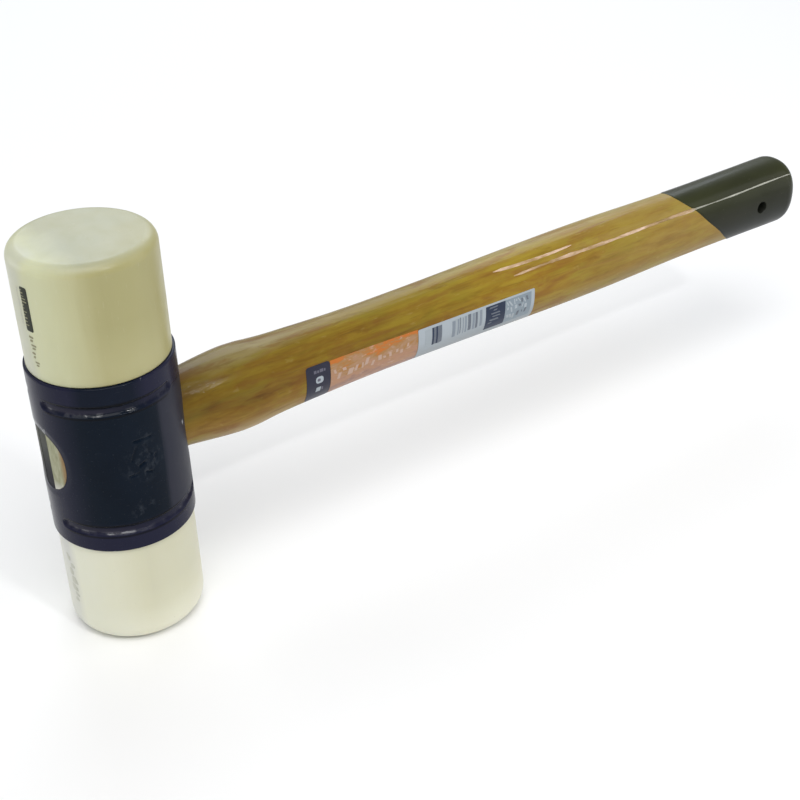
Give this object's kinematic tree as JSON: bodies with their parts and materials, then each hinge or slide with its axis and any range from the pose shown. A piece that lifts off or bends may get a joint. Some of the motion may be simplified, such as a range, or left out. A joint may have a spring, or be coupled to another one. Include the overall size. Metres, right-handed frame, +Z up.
{
  "type": "rubber mallet",
  "caption": "Two-faced rubber mallet: a steel sleeve crimped round cream rubber faces, and a shouldered wooden handle wedged in an oval eye.",
  "frame": {"origin": "centre of the lower striking face", "axes": "+Z up along the head's axis to the upper striking face, +X along the handle from the head to the butt"},
  "size_m": [0.3505, 0.0486, 0.145],
  "materials": {
    "sleeve_paint": "gloss blue-black paint over steel",
    "core_steel": "as cast",
    "face_rubber": "smooth cream moulding, satin",
    "handle_wood": "oiled oak under clear film",
    "wedge_wood": "sawn end, stained",
    "dip_coat": "dark green dipped coat, gloss",
    "label_print": "printed, glossy",
    "label_white": "printed, glossy",
    "clear_film": "clear heat-welded film"
  },
  "bodies": {
    "root": {"head_sleeve": "sleeve_paint", "eye_core": "core_steel", "upper_face": "face_rubber", "lower_face": "face_rubber", "handle": "handle_wood", "eye_wedge": "wedge_wood", "end_coat": "dip_coat", "front_label": "label_print", "bar_label": "label_white", "film_seam": "clear_film"}
  },
  "joints": []
}
